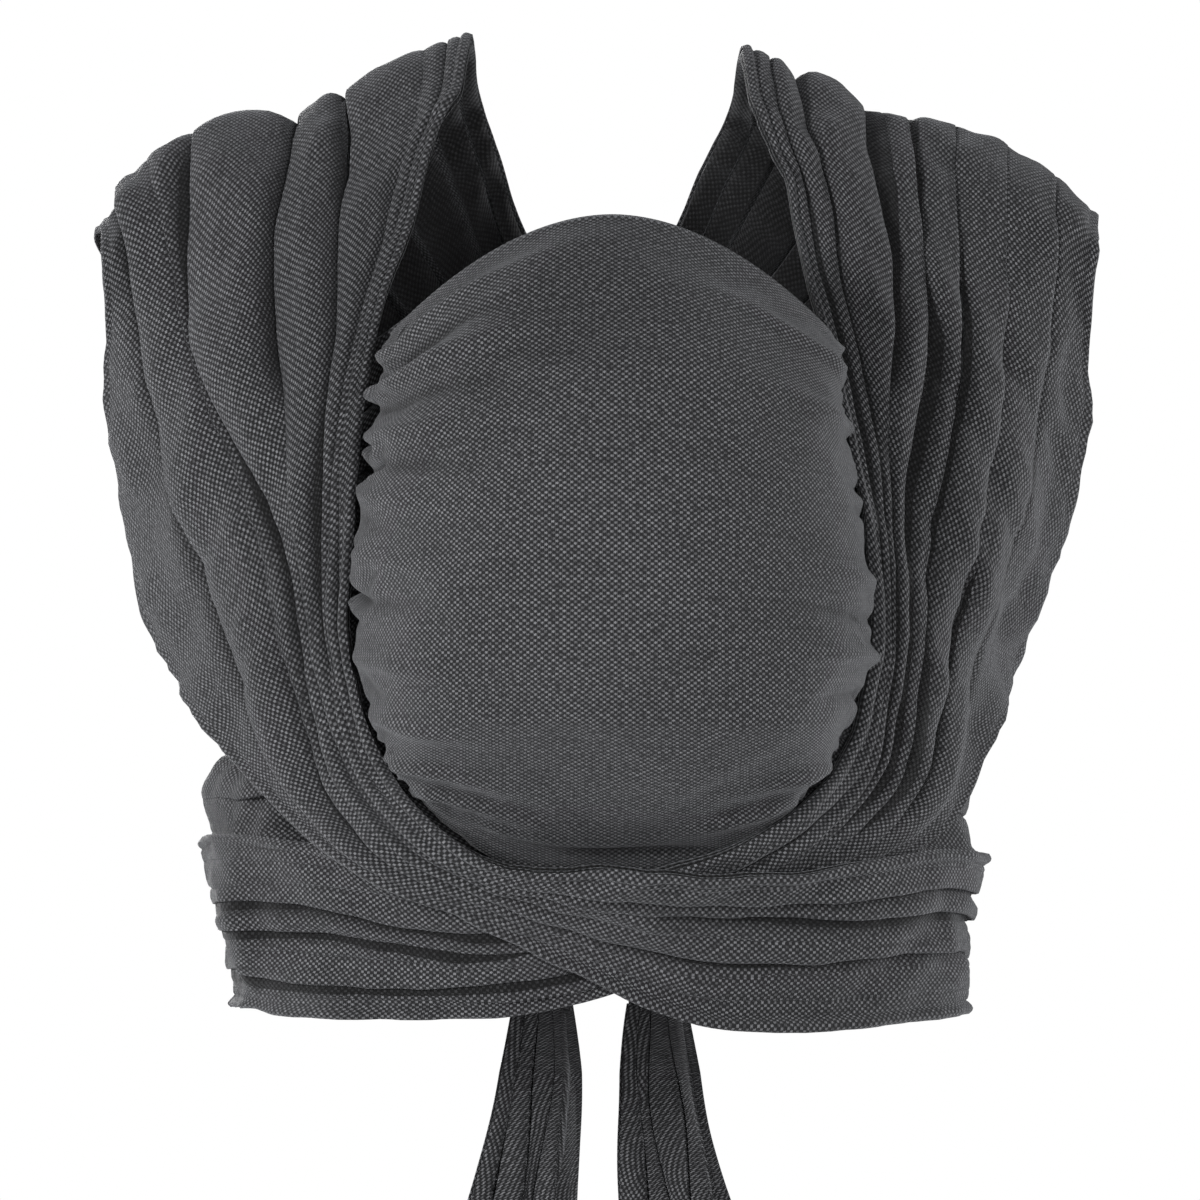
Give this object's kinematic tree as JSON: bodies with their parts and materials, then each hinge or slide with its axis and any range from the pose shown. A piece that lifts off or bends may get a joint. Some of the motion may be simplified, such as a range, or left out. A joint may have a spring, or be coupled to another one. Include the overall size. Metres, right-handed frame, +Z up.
{
  "type": "baby wrap sling",
  "caption": "Long woven cloth tied as a front carry: a domed pouch panel, wide gathered shoulder passes crossing below it and round the waist, knotted at the back with hanging tails.",
  "frame": {"origin": "on the axis of the wearer's torso at the height of the waist, inside the ring of cloth", "axes": "+X is the wearer's left, -Y is the way the wearer faces, +Z is up"},
  "size_m": [0.4298, 0.3905, 0.7205],
  "materials": {
    "woven_cloth": "charcoal bird's-eye weave, near-black ground with light grey dots, matte"
  },
  "bodies": {
    "root": {"pouch_upper": "woven_cloth", "pouch_lower": "woven_cloth", "pouch_seat_tuck": "woven_cloth", "right_pass_wing": "woven_cloth", "right_pass_back": "woven_cloth", "right_pass_shoulder": "woven_cloth", "right_pass_front": "woven_cloth", "right_pass_crossing": "woven_cloth", "right_pass_hip": "woven_cloth", "right_pass_waist_back": "woven_cloth", "left_pass_wing": "woven_cloth", "left_pass_back": "woven_cloth", "left_pass_shoulder": "woven_cloth", "left_pass_front": "woven_cloth", "left_pass_crossing": "woven_cloth", "left_pass_hip": "woven_cloth", "left_pass_waist_back": "woven_cloth", "knot_first_half": "woven_cloth", "knot_second_half": "woven_cloth"},
    "tail_right": {"tail_right": "woven_cloth"},
    "tail_left": {"tail_left": "woven_cloth"}
  },
  "joints": [
    {"name": "tail_right_swing", "type": "hinge", "parent": "root", "child": "tail_right", "pos_m": [-0.025, 0.122, -0.033], "axis": [1, 0, 0], "range_deg": [-6, 70]},
    {"name": "tail_left_swing", "type": "hinge", "parent": "root", "child": "tail_left", "pos_m": [0.025, 0.122, -0.033], "axis": [1, 0, 0], "range_deg": [-6, 70]}
  ]
}
